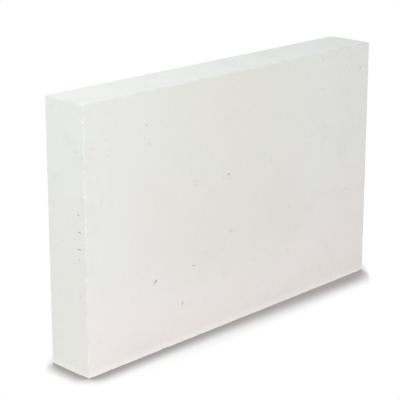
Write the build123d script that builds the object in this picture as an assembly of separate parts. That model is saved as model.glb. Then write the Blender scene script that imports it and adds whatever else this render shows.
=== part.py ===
from build123d import *

import os

# Aerated concrete partition block. It is sawn by wires out of one large cast cake, so it is one
# solid piece with six flat faces: two wall faces, two bed faces and two end faces.
# Millimetres. X runs along the course, Y through the wall and Z up. The origin is the middle of
# the lower bed face, on which the block stands.

# Driving dimensions
LENGTH = 625.0  # along the course, from end face to end face
THICKNESS = 80.0  # through the wall, from wall face to wall face
HEIGHT = 400.0  # of one course, from bed face to bed face
ARRIS_RADIUS = 1.2  # the sawn edges are brittle, and handling rubs them round by this much


def wire_cut_block():
    """The sawn slab standing on its lower bed, with its twelve arrises and eight corners rubbed round."""
    lower_bed = Rectangle(LENGTH, THICKNESS)
    slab = extrude(lower_bed, HEIGHT)
    return fillet(slab.edges(), ARRIS_RADIUS)


os.makedirs("parts", exist_ok=True)
export_step(wire_cut_block(), "parts/block.step")
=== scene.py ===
import math

import bpy
import numpy as np
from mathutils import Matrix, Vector
from mathutils.geometry import delaunay_2d_cdt


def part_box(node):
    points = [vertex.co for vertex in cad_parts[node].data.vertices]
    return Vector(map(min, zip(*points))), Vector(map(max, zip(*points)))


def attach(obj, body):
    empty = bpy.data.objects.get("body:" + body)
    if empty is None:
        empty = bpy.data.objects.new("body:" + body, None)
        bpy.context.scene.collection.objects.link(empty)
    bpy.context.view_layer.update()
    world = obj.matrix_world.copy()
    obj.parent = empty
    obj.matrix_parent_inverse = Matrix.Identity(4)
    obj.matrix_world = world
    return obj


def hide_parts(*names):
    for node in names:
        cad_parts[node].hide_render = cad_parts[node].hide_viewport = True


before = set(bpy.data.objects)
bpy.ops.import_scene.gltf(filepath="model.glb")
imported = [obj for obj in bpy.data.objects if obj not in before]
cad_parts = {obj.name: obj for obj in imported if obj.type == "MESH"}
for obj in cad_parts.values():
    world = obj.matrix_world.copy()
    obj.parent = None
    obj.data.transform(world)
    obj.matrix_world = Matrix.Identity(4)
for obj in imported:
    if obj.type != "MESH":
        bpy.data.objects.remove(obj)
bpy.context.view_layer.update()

bpy.context.scene.view_settings.view_transform = "Standard"


# The block: one slab of aerated concrete, cast with gas bubbles in it, sawn by wires and steam-cured.
# The wires cut the bubbles open, so all six faces are flat with open pores in them.
# Its brittle arrises are rubbed round by handling, and small flakes have broken off them.
MM = 0.001
SCATTER_SEED = 625
block_low, block_high = (np.array(corner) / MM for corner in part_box("block"))
block_size = block_high - block_low
length, thickness, height = block_size
dice = np.random.default_rng(SCATTER_SEED)

ARRIS_RUB = 1.15  # mm that a rubbed arris is set back along each of its two faces
ARRIS_WAVER = 0.25  # mm by which that differs along the arris
LONG_WAVER = 11.0  # mm between the knots of the slower of two wavers that make it differ
SHORT_WAVER = 3.5  # mm between those of the quicker one
SHORT_WAVER_SHARE = 0.4  # of the slower one's size
ARRIS_STEP = 1.6  # mm between stations along an arris
ARRIS_TURNS = 4  # steps round an arris, from one face to the other
CORNER_RUB = (1.6, 2.4)  # mm, the least and the most that a corner is set back
CORNER_BLEND = 9.0  # mm of an arris over which it runs out into its corner
FLAKE_SPACING = 40.0  # mm of arris for each broken flake
FLAKE_HALF_LENGTH = (0.9, 2.2)  # mm along the arris
FLAKE_REACH = (0.2, 0.9)  # mm that a flake adds to the rub on a face
PLACED_FLAKE_GROWTH = 1.6  # of the flakes that are listed
WHOLLY_BROKEN = 2.0  # mm of reach on both faces together, from which no rubbed surface is left
FLAKE_ROUGHNESS = 0.35  # mm by which the broken surface is uneven
RUB_ROUGHNESS = 0.25  # of that, where an arris is only rubbed
corner_rub = dice.uniform(*CORNER_RUB, (2, 2, 2))


def eased(share):
    """0 below 0, 1 above 1, and an S-shaped step between."""
    share = np.clip(share, 0.0, 1.0)
    return share * share * (3.0 - 2.0 * share)


def waver(along, spacing, most):
    """Random values at knots a spacing apart, joined by straight lines at the places asked for."""
    knots = np.arange(along.min() - spacing, along.max() + 2.0 * spacing, spacing)
    return np.interp(along, knots, dice.uniform(-most, most, len(knots)))


def from_side(axis, side, inwards):
    """The place along an axis that is so many millimetres inwards from one side of the block."""
    return block_size[axis] - inwards if side else inwards


def face_number(axis, side):
    """0 to 5: the left and right end, the front and back wall face, the lower and upper bed."""
    return axis * 2 + side


def arris(axis, side_1, side_2, placed_flakes):
    """A worn arris along an axis, as points on a grid of stations along it and turns round it.

    At each station the arris is set back by bite_1 on one face and bite_2 on the other. Its section
    is a quarter round where it is rubbed and a straight cut, a little uneven, where a flake broke off.
    Also gives, for each point, how rubbed and how broken it is.
    """
    axis_1, axis_2 = (axis + 1) % 3, (axis + 2) % 3
    ends = np.zeros((2, 3), int)
    ends[:, axis], ends[:, axis_1], ends[:, axis_2] = (0, 1), side_1, side_2
    first_rub, last_rub = corner_rub[tuple(ends.T)]
    reach_along = block_size[axis]
    along = np.linspace(first_rub, reach_along - last_rub, int(reach_along / ARRIS_STEP))

    scattered = dice.uniform(0.0, reach_along, int(reach_along / FLAKE_SPACING))
    flake_at = np.concatenate([scattered, placed_flakes])
    growth = np.repeat([1.0, PLACED_FLAKE_GROWTH], [len(scattered), len(placed_flakes)])
    half_length = growth * dice.uniform(*FLAKE_HALF_LENGTH, len(flake_at))
    reach = growth * dice.uniform(*FLAKE_REACH, (2, len(flake_at)))
    crest = np.clip(1.0 - ((along[:, None] - flake_at) / half_length) ** 2, 0.0, 1.0)
    flake_bite = (crest * reach[:, None, :]).max(2)

    to_corner = np.minimum(along - first_rub, reach_along - last_rub - along)
    blend = eased(to_corner / CORNER_BLEND)
    corner = np.where(along < reach_along / 2.0, first_rub, last_rub)
    rub = ARRIS_RUB + waver(along, LONG_WAVER, ARRIS_WAVER)
    rub = rub + waver(along, SHORT_WAVER, SHORT_WAVER_SHARE * ARRIS_WAVER)
    bite_1, bite_2 = corner + (rub + flake_bite - corner) * blend
    broken = (eased(flake_bite.sum(0) / WHOLLY_BROKEN) * blend)[:, None]

    turn = np.linspace(0.0, 1.0, ARRIS_TURNS + 1)
    angle = turn * math.pi / 2.0
    set_back_1 = bite_1[:, None] * ((1.0 - broken) * (1.0 - np.sin(angle)) + broken * (1.0 - turn))
    set_back_2 = bite_2[:, None] * ((1.0 - broken) * (1.0 - np.cos(angle)) + broken * turn)
    between = np.sin(math.pi * turn)
    crumbs = dice.uniform(0.0, FLAKE_ROUGHNESS, set_back_1.shape) * between
    crumbs = crumbs * (RUB_ROUGHNESS + (1.0 - RUB_ROUGHNESS) * broken) * blend[:, None]

    points = np.empty(set_back_1.shape + (3,))
    points[..., axis] = along[:, None]
    points[..., axis_1] = from_side(axis_1, side_1, set_back_1 + crumbs)
    points[..., axis_2] = from_side(axis_2, side_2, set_back_2 + crumbs)
    return points, between * (1.0 - broken), between * broken


def corner_cap(sides):
    """An eighth of a ball that closes the three arrises of a corner, on a grid of two angles."""
    polar, round_it = np.meshgrid(*[np.linspace(0.0, math.pi / 2.0, ARRIS_TURNS + 1)] * 2, indexing="ij")
    out = np.stack([np.sin(polar) * np.cos(round_it), np.sin(polar) * np.sin(round_it), np.cos(polar)], -1)
    inwards = corner_rub[sides] * (1.0 - out)
    return np.stack([from_side(axis, sides[axis], inwards[..., axis]) for axis in range(3)], -1)


PORE_MARGIN = 6.5  # mm kept clear between a random pore and an edge of its face
PORE_GAP = 0.5  # mm kept clear between two pores
PORE_CLEARANCE = 1.25  # how far a pore keeps others off, in times its longer half size
PORES_PER_FACE_AREA = 0.0026  # small pores for each square millimetre
PORE_RADIUS = (0.45, 0.85)  # mm, the least and the most of a usual small pore
WIDE_PORE_SHARE = 0.015  # of the small pores, which are wider
WIDE_PORE_GROWTH = 1.7
PORE_SQUASH = (0.85, 1.15)  # how much longer than round a small pore is
PORE_DEPTH = (0.5, 0.95)  # of the radius
LARGE_PORES_PER_FACE_AREA = 0.00014  # for each square millimetre of a face that isn't listed below
LARGE_PORE_HALF_SIZE = (1.6, 4.2)  # mm, the least and the most there
LARGE_PORE_FLATNESS = (0.45, 0.85)  # the lesser half size there, as a share of the greater
LARGE_PORE_SLOPE = (-15.0, 95.0)  # degrees, there
LARGE_PORE_DEPTH = 1.3  # of the lesser half size
DARK_DEPTH = 3.4  # mm, from which a pore's painted shade is as dark as it gets
DEEP_SIDE_SHARE = 0.3  # of a pore's painted shade that is only on its deep side
PORE_SIDES = 8
OVAL_UNEVENNESS = (0.1, 0.05)  # of a rim's size, in two and in three waves round it
RING_REACH = np.array([1.0, 0.80, 0.62, 0.32, 0.0])  # of the rim, from the rim down to the bottom
RING_SLIDE = np.array([0.0, 0.16, 0.28, 0.42, 0.45])  # of the half size, towards the pore's deep side
RING_DROP = np.array([0.0, 0.16, 0.70, 0.95, 1.0])  # of the depth
RING_SHADE = np.array([0.0, 0.45, 1.0, 1.0, 1.0])  # how much painted shade a ring has
RING_LIT_LIP = np.array([0.0, 1.0, 0.20, 0.0, 0.0])  # how much painted highlight a ring has on the shallow side, the pore's lit lip

# Large pores of the front wall face, read off the enlarged photo: place along the block from its
# middle, height, the two half sizes in millimetres, and the slope of the longer one in degrees.
front_pores = np.array([
    # The deepest, at the lower left
    (-180, 110, 5.2, 2.6, 30), (-125, 60, 4.9, 2.4, 60), (-100, 115, 5.4, 1.5, -8),
    # The cluster at the middle and the pair to the left of it
    (-25, 242, 3.9, 2.3, 0), (-22, 235, 2.5, 1.2, 0), (-37, 248, 2.8, 1.0, 10), (-36, 240, 2.0, 1.0, 0),
    (-95, 247, 2.8, 1.4, 0), (-95, 240, 2.8, 1.6, 0),
    # Single ones of the left half
    (-190, 320, 4.4, 1.3, 80), (-195, 350, 2.2, 1.2, 0), (-130, 325, 2.6, 0.8, 85), (-20, 150, 3.2, 1.8, 20),
    (-10, 295, 2.6, 1.0, 80),
    # Single ones of the right half
    (35, 90, 2.4, 1.5, 0), (70, 245, 3.0, 1.5, 0), (115, 85, 2.5, 1.6, 20), (115, 160, 2.8, 1.3, 30),
    (195, 340, 2.0, 1.2, 0), (255, 370, 2.0, 1.5, 0), (290, 360, 2.9, 1.8, 0),
    # Pores that the wire dragged out upwards
    (-35, 80, 7.5, 0.9, 88), (195, 385, 7.5, 1.5, 88), (200, 280, 3.2, 1.3, 85), (250, 285, 3.2, 1.2, 85),
    (250, 155, 3.2, 1.1, 85), (260, 155, 4.5, 1.4, 88),
    # Scratches along the face
    (-75, 130, 4.6, 0.8, 5), (-65, 135, 4.6, 0.7, 5), (-298, 335, 5.0, 0.6, 0), (-270, 320, 4.5, 0.6, 0),
    (-275, 345, 2.2, 1.0, 10),
])
# Large pores of the left end face, most in a row up it, read off the enlarged photo too: place through
# the block from its middle, then as above.
end_pores = np.array([
    (-25, 240, 4.0, 1.7, 0), (-27, 215, 3.8, 1.9, 0), (-25, 190, 4.2, 1.9, 0), (-25, 175, 2.5, 1.4, 0),
    (-25, 120, 2.5, 1.5, 0), (10, 195, 1.9, 0.9, 0), (20, 145, 1.8, 1.0, 0), (-23, 330, 6.2, 0.8, 0),
])
FULL_TURN = 2.0 * math.pi
UPWARDS = FULL_TURN / 4.0


def chance_pores(face_size):
    """Large pores at random places of a face, most of them small, as rows like those of the lists."""
    count = int(face_size.prod() * LARGE_PORES_PER_FACE_AREA)
    least, most = LARGE_PORE_HALF_SIZE
    long_half = least + (most - least) * dice.random(count) ** 2
    short_half = long_half * dice.uniform(*LARGE_PORE_FLATNESS, count)
    margin = PORE_MARGIN + long_half[:, None]
    middle = margin + dice.random((count, 2)) * (face_size - 2.0 * margin)
    return np.column_stack([middle, long_half, short_half, dice.uniform(*LARGE_PORE_SLOPE, count)])


def pore_places(face_size, listed):
    """Middles, half sizes, slopes, deep sides and depths of a face's pores, the large ones first.

    The small ones are a random scatter. A random pore is dropped where an earlier one is nearer than
    their two half sizes, with their clearance, and the gap. A large pore is deepest upwards, and a
    small one any way.
    """
    large = chance_pores(face_size) if listed is None else listed
    count = int(face_size.prod() * PORES_PER_FACE_AREA)
    radius = dice.uniform(*PORE_RADIUS, count)
    radius[dice.random(count) < WIDE_PORE_SHARE] *= WIDE_PORE_GROWTH
    squash = dice.uniform(*PORE_SQUASH, count)
    margin = PORE_MARGIN + radius[:, None]
    small_middle = margin + dice.random((count, 2)) * (face_size - 2.0 * margin)
    small_half = np.stack([radius * squash, radius / squash], 1)
    small_deep_side = dice.uniform(0.0, FULL_TURN, count)
    small_depth = radius * dice.uniform(*PORE_DEPTH, count)
    large_middle, large_half, large_slope = np.split(large, [2, 4], 1)
    large_slope = np.radians(large_slope[:, 0])
    large_depth = large_half[:, 1] * LARGE_PORE_DEPTH

    middle = np.concatenate([large_middle, small_middle])
    half = np.concatenate([large_half, small_half])
    slope = np.concatenate([large_slope, np.zeros(count)])
    deep_side = np.concatenate([UPWARDS - large_slope, small_deep_side])
    depth = np.concatenate([large_depth, small_depth])
    reach = half.max(1) * PORE_CLEARANCE
    apart = np.linalg.norm(middle[:, None] - middle[None], axis=2)
    too_near = apart < reach[:, None] + reach[None] + PORE_GAP
    kept = ~np.tril(too_near, -1).any(1)
    if listed is not None:
        kept[:len(listed)] = True
    return middle[kept], half[kept], slope[kept], deep_side[kept], depth[kept]


def pore_bowls(middle, half, slope, deep_side, depth):
    """Open pores as an array of pore, ring, side and place: across, up and down into the face.

    Ring m is an uneven oval, RING_REACH[m] of the rim's size, slid by RING_SLIDE[m] of it towards the
    pore's deep side and RING_DROP[m] of the depth below the face. The last ring is one point. Also
    gives how far each side of a pore faces its deep side, from -1 to 1.
    """
    count = len(middle)
    angle = FULL_TURN * np.arange(PORE_SIDES) / PORE_SIDES
    lean_2, lean_3 = dice.uniform(0.0, FULL_TURN, (2, count, 1))
    two_waves, three_waves = OVAL_UNEVENNESS
    outline = 1.0 + two_waves * np.sin(2.0 * angle + lean_2) + three_waves * np.sin(3.0 * angle + lean_3)
    oval = (outline * np.exp(1j * angle))[:, None] * RING_REACH[:, None]
    oval = oval + np.exp(1j * deep_side)[:, None, None] * RING_SLIDE[:, None]
    oval = oval.real * half[:, 0, None, None] + 1j * oval.imag * half[:, 1, None, None]
    oval = oval * np.exp(1j * slope)[:, None, None]
    bowls = np.empty(oval.shape + (3,))
    bowls[..., 0] = middle[:, 0, None, None] + oval.real
    bowls[..., 1] = middle[:, 1, None, None] + oval.imag
    bowls[..., 2] = (depth[:, None] * RING_DROP)[..., None]
    return bowls, np.cos(angle - deep_side[:, None])[:, None, :]


def grid_triangles(rows, columns, closed=False):
    """Two triangles for each cell of a grid of points, numbered row by row; a closed grid wraps round."""
    cell_columns = columns if closed else columns - 1
    row, column = np.meshgrid(np.arange(rows - 1), np.arange(cell_columns), indexing="ij")
    after = (column + 1) % columns
    a, b = row * columns + column, row * columns + after
    c, d = a + columns, b + columns
    return np.stack([a, c, d, a, d, b], -1).reshape(-1, 3)


def facing(triangles, turned):
    """The same triangles, wound the other way round if turned."""
    return triangles[:, ::-1] if turned else triangles


FILL_INSIDE = 1  # the triangulation's own number for filling inside the outline only
SAME_PLACE = 1e-6  # mm


def web_triangles(outline, rims):
    """Triangles that fill a face between its outline and the rims of its pores.

    All points are joined by triangles that keep the outline and the rims as edges, and those with
    all three corners on the rim of one pore, which close that pore, are left out.
    """
    corners = np.concatenate([outline, rims.reshape(-1, 2)])
    outline_at = np.arange(len(outline))
    rim_at = len(outline) + np.arange(rims.shape[0] * PORE_SIDES).reshape(-1, PORE_SIDES)
    edges = np.concatenate([
        np.stack([outline_at, np.roll(outline_at, -1)], 1),
        np.stack([rim_at, np.roll(rim_at, -1, 1)], -1).reshape(-1, 2),
    ])
    filled = delaunay_2d_cdt(corners.tolist(), edges.tolist(), [], FILL_INSIDE, SAME_PLACE)
    faces, given_points = filled[2:4]
    triangles = np.array(given_points)[:, 0][np.array(faces)]
    pore_of = np.concatenate([np.full(len(outline), -1), np.repeat(np.arange(len(rims)), PORE_SIDES)])
    corner_pores = pore_of[triangles]
    over_a_pore = (corner_pores[:, 0] >= 0) & (corner_pores == corner_pores[:, :1]).all(1)
    return corners, triangles[~over_a_pore]


skin_points, skin_triangles, skin_faces, skin_smooth = [], [], [], []
# Each point keeps how rubbed and how broken it is, the broken share also holding the painted highlight on
# pore lips, and the painted shade inside pores.
skin_wear_and_shade = {"rubbed": [], "broken": [], "hollow": []}


def add_skin(points, triangles, face, smooth, **wear_and_shade):
    """Adds a patch to the block's skin; face is the face, or the face of each triangle, that it lies on."""
    start = sum(len(patch) for patch in skin_points)
    points = points.reshape(-1, 3)
    skin_points.append(points)
    skin_triangles.append(triangles + start)
    skin_faces.append(np.broadcast_to(face, len(triangles)))
    skin_smooth.append(np.full(len(triangles), smooth))
    for name, patches in skin_wear_and_shade.items():
        patches.append(np.broadcast_to(np.ravel(wear_and_shade.get(name, 0.0)), len(points)))


# An arris is named by the axis along it and its sides on the next two axes. Flakes that show, read
# off the enlarged photo, are placed by height on the front left one, and by place from the middle
# on the lower front one, in millimetres.
FRONT_LEFT_ARRIS = (2, 0, 0)
LOWER_FRONT_ARRIS = (0, 0, 0)
placed_flakes = {
    FRONT_LEFT_ARRIS: np.array([375.0, 305.0, 270.0, 235.0, 225.0, 205.0, 150.0, 65.0]),
    LOWER_FRONT_ARRIS: np.array([-270.0, -170.0, -165.0, -160.0, -90.0, -85.0, -5.0, 0.0]) + length / 2.0,
}
arrises = {}
# Every other arris, corner and face is a mirror image, so its triangles are turned to face outwards.
for axis, side_1, side_2 in np.ndindex(3, 2, 2):
    flakes = placed_flakes.get((axis, side_1, side_2), [])
    points, rubbed, broken = arris(axis, side_1, side_2, flakes)
    arrises[axis, side_1, side_2] = points
    triangles = facing(grid_triangles(*points.shape[:2]), side_1 != side_2)
    turn = np.arange(len(triangles)) // 2 % ARRIS_TURNS  # a cell of the grid has two triangles
    first_face = face_number((axis + 2) % 3, side_2)
    second_face = face_number((axis + 1) % 3, side_1)
    face = np.where(turn < ARRIS_TURNS / 2, first_face, second_face)
    add_skin(points, triangles, face, True, rubbed=rubbed, broken=broken)

for sides in np.ndindex(2, 2, 2):
    points = corner_cap(sides)
    triangles = facing(grid_triangles(*points.shape[:2]), sum(sides) % 2 == 0)
    middles = points.reshape(-1, 3)[triangles].mean(1)
    depth_in = np.stack([from_side(axis, sides[axis], middles[:, axis]) for axis in range(3)], 1)
    nearest = depth_in.argmin(1)
    add_skin(points, triangles, face_number(nearest, np.array(sides)[nearest]), True)

FACE_AXES = ((1, 2), (0, 2), (0, 1))  # the two axes across and up each face, by the axis that it faces along
# A face is named by the axis that it faces along and its side. The upper bed has no large pores.
FRONT = (1, 0)
LEFT_END = (0, 0)
UPPER_BED = (2, 1)
listed_pores = {
    FRONT: front_pores + np.array([length / 2.0, 0.0, 0.0, 0.0, 0.0]),
    LEFT_END: end_pores + np.array([thickness / 2.0, 0.0, 0.0, 0.0, 0.0]),
    UPPER_BED: np.empty((0, 5)),
}
one_bowl = grid_triangles(len(RING_REACH), PORE_SIDES, closed=True)
for axis, side in np.ndindex(3, 2):
    next_axis, last_axis = (axis + 1) % 3, (axis + 2) % 3
    plane = list(FACE_AXES[axis])
    outline = np.concatenate([
        arrises[next_axis, 0, side][:-1, 0],
        arrises[last_axis, side, 1][:-1, -1],
        arrises[next_axis, 1, side][:0:-1, 0],
        arrises[last_axis, side, 0][:0:-1, -1],
    ])[:, plane]
    pores = pore_places(block_size[plane], listed_pores.get((axis, side)))
    bowls, to_deep_side = pore_bowls(*pores)
    corners, triangles = web_triangles(outline, bowls[:, 0, :, :2])
    turned = (side == 0) != (axis == 1)
    face = face_number(axis, side)
    web = np.empty((len(corners), 3))
    web[:, plane] = corners
    web[:, axis] = from_side(axis, side, 0.0)
    add_skin(web, facing(triangles, turned), face, False)

    walls = np.empty_like(bowls)
    walls[..., plane] = bowls[..., :2]
    walls[..., axis] = from_side(axis, side, bowls[..., 2])
    starts = np.arange(len(bowls)) * len(RING_REACH) * PORE_SIDES
    triangles = (starts[:, None, None] + one_bowl).reshape(-1, 3)
    # Painted shade darkens each pore's inside, the more the deeper the pore, and most on its deep side.
    deep = np.clip(pores[-1] / DARK_DEPTH, 0.0, 1.0)[:, None, None]
    hollow = deep * RING_SHADE[:, None] * (1.0 - DEEP_SIDE_SHARE + DEEP_SIDE_SHARE * to_deep_side)
    # A painted highlight lightens the lip on the shallow side, kept with the fresh breaks.
    lit_lip = deep * RING_LIT_LIP[:, None] * np.clip(-to_deep_side, 0.0, 1.0)
    add_skin(walls, facing(triangles, not turned), face, True, hollow=hollow, broken=lit_lip)

# Patches are joined where their edge points are in the same place, and a triangle whose corners are
# then no longer three is dropped.
SAME_DIGITS = 4  # of a millimetre
points = np.concatenate(skin_points)
first, joined = np.unique(points.round(SAME_DIGITS), axis=0, return_index=True, return_inverse=True)[1:]
triangles = joined.reshape(-1)[np.concatenate(skin_triangles)]
whole = (triangles != np.roll(triangles, 1, 1)).all(1)
triangles = triangles[whole]
triangle_face = np.concatenate(skin_faces)[whole]
places = (points[first] + block_low) * MM

skin = bpy.data.meshes.new("wire_cut_block")
skin.vertices.add(len(places))
skin.vertices.foreach_set("co", places.ravel())
skin.loops.add(triangles.size)
skin.loops.foreach_set("vertex_index", triangles.ravel())
skin.polygons.add(len(triangles))
skin.polygons.foreach_set("loop_start", np.arange(0, triangles.size, 3))
for name, patches in skin_wear_and_shade.items():
    skin.attributes.new(name, "FLOAT", "POINT").data.foreach_set("value", np.concatenate(patches)[first])

# The map lays the six faces out flat at one metre to the unit, with a margin between them.
MAP_MARGIN = 12.0  # mm
map_axes = np.repeat(FACE_AXES, 2, 0)
map_starts = np.array([
    (length + MAP_MARGIN, 0.0), (length + MAP_MARGIN, height + MAP_MARGIN),
    (0.0, 0.0), (0.0, height + MAP_MARGIN),
    (0.0, 2.0 * (height + MAP_MARGIN)), (0.0, 2.0 * (height + MAP_MARGIN) + thickness + MAP_MARGIN),
])
corner_places = points[first][triangles]
on_map = np.take_along_axis(corner_places, map_axes[triangle_face][:, None, :].repeat(3, 1), 2)
on_map = (on_map + map_starts[triangle_face][:, None, :]) * MM
skin.uv_layers.new(name="OFBake").uv.foreach_set("vector", on_map.ravel())

# Arrises and pores are smooth within themselves, and the sawn faces are flat.
SHARP_ANGLE = math.radians(40.0)
skin.update(calc_edges=True)
skin.set_sharp_from_angle(angle=SHARP_ANGLE)
skin.polygons.foreach_set("use_smooth", np.concatenate(skin_smooth)[whole])
block = bpy.data.objects.new("wire_cut_block", skin)
bpy.context.collection.objects.link(block)


class Shade:
    """An output of a shader node. An operator on it adds a Math node, and node() adds any other."""

    def __init__(self, tree, socket=None):
        self.tree = tree
        self.socket = socket

    def node(self, kind, settings, inputs, output=0):
        """A new node of a kind, with its settings and then its inputs: values, or links to other shades."""
        made = self.tree.nodes.new(kind)
        for name, value in settings.items():
            setattr(made, name, value)
        for key, value in inputs.items():
            if isinstance(value, Shade):
                self.tree.links.new(value.socket, made.inputs[key])
            else:
                made.inputs[key].default_value = value
        return Shade(self.tree, made.outputs[output]) if len(made.outputs) else None

    def maths(self, operation, first, second):
        """A Math node on two shades, or on a shade and a number."""
        return self.node("ShaderNodeMath", {"operation": operation}, {0: first, 1: second})

    def __add__(self, other):
        return self.maths("ADD", self, other)

    __radd__ = __add__

    def __sub__(self, other):
        return self.maths("SUBTRACT", self, other)

    def __rsub__(self, other):
        return self.maths("SUBTRACT", other, self)

    def __mul__(self, other):
        return self.maths("MULTIPLY", self, other)

    __rmul__ = __mul__

    def __abs__(self):
        return self.node("ShaderNodeMath", {"operation": "ABSOLUTE"}, {0: self})

    def step(self, start, end, low=0.0, high=1.0):
        """An S-shaped step from low to high as this goes from start to end."""
        return self.node(
            "ShaderNodeMapRange", {"interpolation_type": "SMOOTHSTEP"},
            {"Value": self, "From Min": start, "From Max": end, "To Min": low, "To Max": high},
        )

    def ramp(self, start, end):
        """An even ramp from 0 to 1 as this goes from start to end."""
        return self.node("ShaderNodeMapRange", {}, {"Value": self, "From Min": start, "From Max": end})

    def colour(self, low, high):
        """A colour that goes from low to high as this goes from 0 to 1."""
        return self.node("ShaderNodeMix", {"data_type": "RGBA"}, {0: self, 6: low, 7: high}, 2)


def new_tree(owner):
    """An emptied node tree of a material or the world, as a shade to add nodes to."""
    owner.use_nodes = True
    owner.node_tree.nodes.clear()
    return Shade(owner.node_tree)


def noise(place, waves, detail, roughness=0.5):
    """Soft random values from 0 to 1 over a place, with about so many waves to the metre."""
    return place.node("ShaderNodeTexNoise", {}, {
        "Vector": place, "Scale": waves, "Detail": detail, "Roughness": roughness,
    })


concrete = bpy.data.materials.new("aerated_concrete")
shader = new_tree(concrete)
place = shader.node("ShaderNodeTexCoord", {}, {}, "Object")
along, through, above_floor = (
    shader.node("ShaderNodeSeparateXYZ", {}, {"Vector": place}, axis) for axis in "XYZ"
)
# Of the three, broken also holds the painted highlight on the pores' lips, and the last is the painted shade
# inside the pores.
rubbed, broken, hollow = (
    shader.node("ShaderNodeAttribute", {"attribute_name": name}, {}, "Fac") for name in skin_wear_and_shade
)

# Each pair of faces has its own tints and marks, which start just inside the face and are full at it.
FACE_MASK_STARTS = 0.003  # m inside the face
FACE_MASK_FULL = 0.0005  # m inside the face


def at_faces(offset, half_size):
    """1 at the two faces that lie half a size to either side of the middle, and 0 between them."""
    return abs(offset).step(half_size - FACE_MASK_STARTS, half_size - FACE_MASK_FULL)


half_length, half_thickness, half_height = block_size * MM / 2.0
on_end = at_faces(along, half_length)
on_wall_face = at_faces(through, half_thickness)
on_bed = at_faces(above_floor - half_height, half_height)

# Soft tints of the white: warm low down, cream and pink about the middle of the wall faces, cooler at
# the top of the ends and on the beds. Borders are in metres, from where a tint starts to where it is
# full, and they wander by the drift.
PLAIN_WHITE = (0.779, 0.787, 0.768, 1.0)
WARM_WHITE = (0.830, 0.779, 0.762, 1.0)
CREAM_GREY = (0.760, 0.748, 0.690, 1.0)
BLUSH_GREY = (0.780, 0.738, 0.718, 1.0)
END_WHITE_LOW = (0.785, 0.784, 0.752, 1.0)
END_WHITE_HIGH = (0.775, 0.803, 0.778, 1.0)
BED_WHITE = (0.787, 0.811, 0.790, 1.0)
DRIFT_WAVES = 5.0  # to the metre
DRIFT_REACH = 0.2  # m, from the lowest to the highest value
NOISE_MIDDLE = 0.5
WARM_BORDER = (0.22, 0.01)  # heights
WARM_SHARES = (0.05, 0.95)  # the least and the most of the warm tint
WARM_RISE = 0.1  # m that its border is higher for each metre to the right
WARM_DRIFT = 0.5  # of the drift
CREAM_BORDER = (0.26, 0.04)  # to either side of the middle
CREAM_FLOOR = (0.02, 0.16)  # heights
CREAM_SHARE = 0.6
BLUSH_MIDDLE = -0.03  # along the block
BLUSH_HEIGHT = 0.17
BLUSH_BORDER = (0.24, 0.11)  # to either side of its middle
BLUSH_RISE = (0.09, 0.03)  # above and below its height
BLUSH_SHARE = 0.6
END_BORDER = (0.20, 0.34)  # heights
drift = (noise(place, DRIFT_WAVES, detail=2.0) - NOISE_MIDDLE) * DRIFT_REACH
warm = (above_floor - along * WARM_RISE + drift * WARM_DRIFT).step(*WARM_BORDER, *WARM_SHARES)
cream = abs(along + drift).step(*CREAM_BORDER) * above_floor.step(*CREAM_FLOOR) * CREAM_SHARE
blush = abs(along - BLUSH_MIDDLE + drift).step(*BLUSH_BORDER)
blush = blush * abs(above_floor - BLUSH_HEIGHT - drift).step(*BLUSH_RISE) * BLUSH_SHARE
colour = warm.colour(PLAIN_WHITE, WARM_WHITE)
colour = cream.colour(colour, CREAM_GREY)
colour = blush.colour(colour, BLUSH_GREY)
colour = on_end.colour(colour, above_floor.step(*END_BORDER).colour(END_WHITE_LOW, END_WHITE_HIGH))
colour = on_bed.colour(colour, BED_WHITE)

# Marks of making: clouds of denser mix, strokes of the wire up the wall faces, and the smallest pores,
# which are pits under a millimetre, darkened with painted shade. Waves are to the metre, and borders
# are on the noise's own values.
CLOUD_GREY = (0.745, 0.745, 0.725, 1.0)
STROKE_GREY = (0.70, 0.70, 0.68, 1.0)
# PORE_SHADE is painted shade: the dark inside the pores and the pits.
PORE_SHADE = (0.28, 0.275, 0.265, 1.0)
CLOUD_WAVES = 22.0
CLOUD_BORDER = (0.50, 0.72)
CLOUD_SHARE = 0.4
STROKE_WAVES = 260.0
STROKE_BORDER = (0.56, 0.72)
STROKE_SHARE = 0.25
STROKE_STRETCH = (1.0, 1.0, 0.2)  # strokes are five times as high as they are wide
STROKE_PATCH_WAVES = 14.0
STROKE_PATCH_BORDER = (0.48, 0.62)
PITS_TO_THE_METRE = 520.0
PIT_BORDER = (0.08, -0.08)  # outside and inside a pit's radius, as a share of the pits' spacing
PIT_LEAST = -0.27  # the least radius, as such a share; below 0 there is no pit
PIT_SPREAD = 0.68  # from the least radius to the most
PIT_SHARE = 0.06
clouds = noise(place, CLOUD_WAVES, detail=4.0, roughness=0.55).step(*CLOUD_BORDER)
drawn_out = shader.node("ShaderNodeVectorMath", {"operation": "MULTIPLY"}, {0: place, 1: STROKE_STRETCH})
strokes = noise(drawn_out, STROKE_WAVES, detail=1.0).step(*STROKE_BORDER) * on_wall_face
strokes = strokes * noise(place, STROKE_PATCH_WAVES, detail=1.0).step(*STROKE_PATCH_BORDER)
from_pit, pit_colour = (
    shader.node("ShaderNodeTexVoronoi", {}, {"Vector": place, "Scale": PITS_TO_THE_METRE}, output)
    for output in ("Distance", "Color")
)
pit_luck = shader.node("ShaderNodeSeparateColor", {}, {"Color": pit_colour}, "Green")
pits = (from_pit - pit_luck * PIT_SPREAD - PIT_LEAST).step(*PIT_BORDER)
colour = (clouds * CLOUD_SHARE).colour(colour, CLOUD_GREY)
colour = (strokes * STROKE_SHARE).colour(colour, STROKE_GREY)
colour = (pits * PIT_SHARE).colour(colour, PORE_SHADE)
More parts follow.
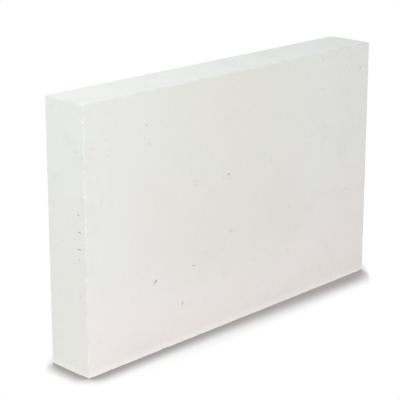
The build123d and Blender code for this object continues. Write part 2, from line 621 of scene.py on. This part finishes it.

# Wear and painted light: handling greys the arrises in patches, a grey that also paints shade over the
# highlight on their round; a painted highlight lightens the faces just above the floor; fresh breaks are
# white, as are the lips of the pores, where that white is a painted highlight; and the pores are dark
# inside with painted shade.
RUBBED_GREY_AND_SHADE = (0.66, 0.66, 0.64, 1.0)
FOOT_HIGHLIGHT = (0.92, 0.91, 0.90, 1.0)
FRESH_BREAK_AND_LIT_LIP = (0.83, 0.83, 0.81, 1.0)
RUB_WAVES = 45.0  # to the metre
RUB_BORDER = (0.42, 0.58)
RUB_SHARES = (0.3, 1.0)  # the least and the most that a rubbed arris is greyed and shaded
FOOT_HIGHLIGHT_BORDER = (0.014, 0.0)  # heights in metres
FOOT_HIGHLIGHT_SHARES = (0.3, 0.6)  # on the ends and on the wall faces
BREAK_BORDER = (0.1, 0.8)
PORE_SHADE_BORDER = (0.05, 0.9)
# The grey on rubbed arrises is partly handling grime and partly painted shade that dims the highlight on
# their round.
greyed_and_shaded = rubbed * noise(place, RUB_WAVES, detail=2.0).step(*RUB_BORDER, *RUB_SHARES)
# A painted highlight: a light line along the foot of the wall faces and the ends.
foot_highlight = above_floor.step(*FOOT_HIGHLIGHT_BORDER) * on_wall_face.step(0.0, 1.0, *FOOT_HIGHLIGHT_SHARES)
colour = greyed_and_shaded.colour(colour, RUBBED_GREY_AND_SHADE)
colour = foot_highlight.colour(colour, FOOT_HIGHLIGHT)
colour = broken.step(*BREAK_BORDER).colour(colour, FRESH_BREAK_AND_LIT_LIP)
colour = hollow.step(*PORE_SHADE_BORDER).colour(colour, PORE_SHADE)

# The surface is dry and matte, a little smoother where it is rubbed, with a fine sandy grain.
GRAIN_WAVES = 900.0  # to the metre
GRAIN_RELIEF = 0.12  # mm
PIT_RELIEF = 0.25  # mm
STROKE_RELIEF = 0.05  # mm
RELIEF_STRENGTH = 0.5
DRY_ROUGHNESS = 0.93
RUBBED_SMOOTHNESS = 0.08
DRY_GLOSS = 0.25
grain = noise(place, GRAIN_WAVES, detail=3.0, roughness=0.65)
relief = grain * GRAIN_RELIEF - pits * PIT_RELIEF - strokes * STROKE_RELIEF
bump = shader.node("ShaderNodeBump", {}, {"Strength": RELIEF_STRENGTH, "Distance": MM, "Height": relief})
surface = shader.node("ShaderNodeBsdfPrincipled", {}, {
    "Base Color": colour,
    "Roughness": DRY_ROUGHNESS - RUBBED_SMOOTHNESS * rubbed,
    "Specular IOR Level": DRY_GLOSS,
    "Normal": bump,
})
shader.node("ShaderNodeOutputMaterial", {}, {"Surface": surface})
skin.materials.append(concrete)
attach(block, "root")
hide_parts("block")


# The floor: a plain pale sheet under the block, white to the camera with a painted shadow, the soft dark
# line that the block leaves where it stands, and a plain matte sheet to the light that it sends back up.
FLOOR_HALF_SIDE = 6.0  # m
FLOOR_WHITE = (1.0, 1.0, 1.0, 1.0)
FLOOR_MATTE = (0.85, 0.85, 0.85, 1.0)
SHADOW_TONE = (0.385, 0.363, 0.350, 1.0)
SHADOW_REACH_LEFT = 0.035  # m
SHADOW_REACH_RIGHT = 0.059  # m
SHADOW_SIDES = (-0.35, 0.35)  # m along the block, over which the one reach goes over into the other
SHADOW_LEAN = Vector((0.31, 0.35, 1.0)).normalized()
SHADOW_RAYS = 16
SHADOW_ACROSS = (0.70, -0.71)  # the direction across the way that the shadow falls
SHADOW_ENDS = (0.252, 0.270)  # m from the middle, that way
SHADOW_END_SHARE = 0.7  # of open sky that is added beyond those ends
OPEN_SKY_LEFT = (0.50, 0.90)  # shares of open sky between which the floor goes from shadow to white
OPEN_SKY_RIGHT = (0.51, 0.96)  # the same on the right, where it goes in an S-shaped step
floor_mesh = bpy.data.meshes.new("floor")
across, up = np.meshgrid(*[np.linspace(-FLOOR_HALF_SIDE, FLOOR_HALF_SIDE, 2)] * 2)
floor_points = np.stack([across.ravel(), up.ravel(), np.zeros(across.size)], 1)
floor_mesh.from_pydata(floor_points.tolist(), [], [(0, 1, 3, 2)])
floor = bpy.data.objects.new("floor", floor_mesh)
bpy.context.collection.objects.link(floor)
floor_finish = bpy.data.materials.new("floor")
shader = new_tree(floor_finish)
floor_place = shader.node("ShaderNodeTexCoord", {}, {}, "Object")
along_block, through_block = (
    shader.node("ShaderNodeSeparateXYZ", {}, {"Vector": floor_place}, axis) for axis in "XY"
)
lean = shader.node("ShaderNodeCombineXYZ", {}, dict(zip("XYZ", SHADOW_LEAN)))
open_left, open_right = (
    shader.node(
        "ShaderNodeAmbientOcclusion", {"samples": SHADOW_RAYS}, {"Distance": reach, "Normal": lean}, "AO",
    )
    for reach in (SHADOW_REACH_LEFT, SHADOW_REACH_RIGHT)
)
across_shadow = along_block * SHADOW_ACROSS[0] + through_block * SHADOW_ACROSS[1]
beyond_ends = abs(across_shadow).step(*SHADOW_ENDS) * SHADOW_END_SHARE
light_left = (open_left + beyond_ends).ramp(*OPEN_SKY_LEFT)
light_right = (open_right + beyond_ends).step(*OPEN_SKY_RIGHT)
light = light_left + (light_right - light_left) * along_block.step(*SHADOW_SIDES)
floor_colour = light.colour(SHADOW_TONE, FLOOR_WHITE)
seen = shader.node("ShaderNodeEmission", {}, {"Color": floor_colour, "Strength": 1.0})
matte = shader.node("ShaderNodeBsdfDiffuse", {}, {"Color": FLOOR_MATTE})


def seen_directly(shader):
    """1 for a ray from the camera, and for one that a gloss or a glass sends on, and 0 for others."""
    to_camera, to_gloss, to_glass = (
        shader.node("ShaderNodeLightPath", {}, {}, kind)
        for kind in ("Is Camera Ray", "Is Glossy Ray", "Is Transmission Ray")
    )
    return to_camera + to_gloss + to_glass


mixed = shader.node("ShaderNodeMixShader", {}, {0: seen_directly(shader), 1: matte, 2: seen})
shader.node("ShaderNodeOutputMaterial", {}, {"Surface": mixed})
floor_mesh.materials.append(floor_finish)


# The light: a plain white room that fills from all round, a large soft box at the front left that
# gives the front and the end about the same tone, and one overhead for the top.
ROOM_WHITE = (1.0, 1.0, 1.0, 1.0)
ROOM_FILL = 0.54  # of the white that the camera sees
white_room = bpy.data.worlds.new("white_room")
bpy.context.scene.world = white_room
shader = new_tree(white_room)
room_strength = ROOM_FILL + (1.0 - ROOM_FILL) * seen_directly(shader)
room = shader.node("ShaderNodeBackground", {}, {"Color": ROOM_WHITE, "Strength": room_strength})
shader.node("ShaderNodeOutputWorld", {}, {"Surface": room})


def soft_box(name, place, aim, side, watts):
    """A square white area lamp at a place, turned to face the aim."""
    lamp = bpy.data.lights.new(name, "AREA")
    lamp.energy = watts
    lamp.size = side
    box = bpy.data.objects.new(name, lamp)
    box.location = place
    box.rotation_euler = (Vector(aim) - Vector(place)).to_track_quat("-Z", "Y").to_euler()
    bpy.context.collection.objects.link(box)


soft_box("front_box", place=(-1.9, -2.58, 1.1), aim=(-0.2, 0.0, 0.2), side=2.0, watts=47.5)
soft_box("overhead_box", place=(-0.7, 0.2, 1.7), aim=(-0.1, 0.0, 0.2), side=1.2, watts=11.3)


# The camera: a long lens at the front left, a little above the block. Its frame is slid down a little,
# so that the uprights draw together less.
CAMERA_AZIMUTH = math.radians(-45.5)
CAMERA_ELEVATION = math.radians(14.9)
CAMERA_DISTANCE = 2.078  # m
CAMERA_AIM = Vector((-0.047, 0.0, 0.293))  # m
SENSOR_WIDTH = 36.0  # mm
IMAGE_WIDTH = 400.0  # pixels
FOCAL_PIXELS = 1371.0
FRAME_SLIDE = -0.15  # of the image's width
to_eye = Vector((
    math.sin(CAMERA_AZIMUTH) * math.cos(CAMERA_ELEVATION),
    -math.cos(CAMERA_AZIMUTH) * math.cos(CAMERA_ELEVATION),
    math.sin(CAMERA_ELEVATION),
))
lens = bpy.data.cameras.new("camera")
lens.sensor_width = SENSOR_WIDTH
lens.lens = FOCAL_PIXELS / IMAGE_WIDTH * SENSOR_WIDTH
lens.shift_y = FRAME_SLIDE
camera = bpy.data.objects.new("camera", lens)
camera.location = CAMERA_AIM + to_eye * CAMERA_DISTANCE
camera.rotation_euler = (-to_eye).to_track_quat("-Z", "Y").to_euler()
bpy.context.collection.objects.link(camera)
bpy.context.scene.camera = camera

bpy.context.view_layer.update()
